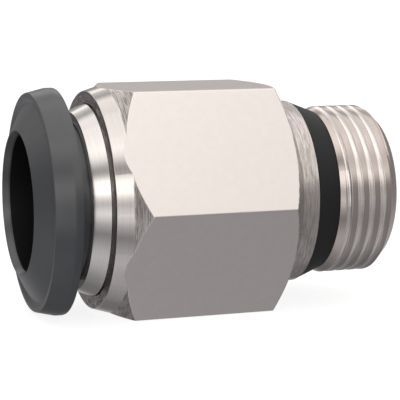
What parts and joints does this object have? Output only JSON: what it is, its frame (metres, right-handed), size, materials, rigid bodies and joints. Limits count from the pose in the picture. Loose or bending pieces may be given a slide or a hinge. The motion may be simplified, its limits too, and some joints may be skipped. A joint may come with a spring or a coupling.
{
  "type": "push-in fitting",
  "caption": "Straight male push-in air fitting: hexagon body with sealed port thread, conical sleeve and a dark release ring round the tube entry.",
  "frame": {"origin": "on the fitting's axis, in the plane of the sealing face, inside the flow bore", "axes": "+X along the axis out of the thread end, -X out of the tube entry, +Z normal to the upper hexagon flat; the part lies on the lower flat"},
  "size_m": [0.0285, 0.0196, 0.0172],
  "materials": {
    "nickel_plate": "nickel-plated, satin",
    "polished_nickel": "nickel-plated, polished",
    "ring_plastic": "satin moulded",
    "support_plastic": "moulded, natural",
    "seal_rubber": "matt rubber",
    "spring_steel": "bright rolled"
  },
  "bodies": {
    "fitting": {"body": "nickel_plate", "port_seal": "seal_rubber", "retaining_sleeve": "polished_nickel", "grip_ring": "spring_steel", "support_ring": "support_plastic", "tube_seal": "seal_rubber"},
    "release": {"release_ring": "ring_plastic"}
  },
  "joints": [
    {"name": "release_press", "type": "slide", "parent": "fitting", "child": "release", "axis": [1, 0, 0], "range_m": [0, 0.00112], "stiffness_N_per_m": 800}
  ]
}
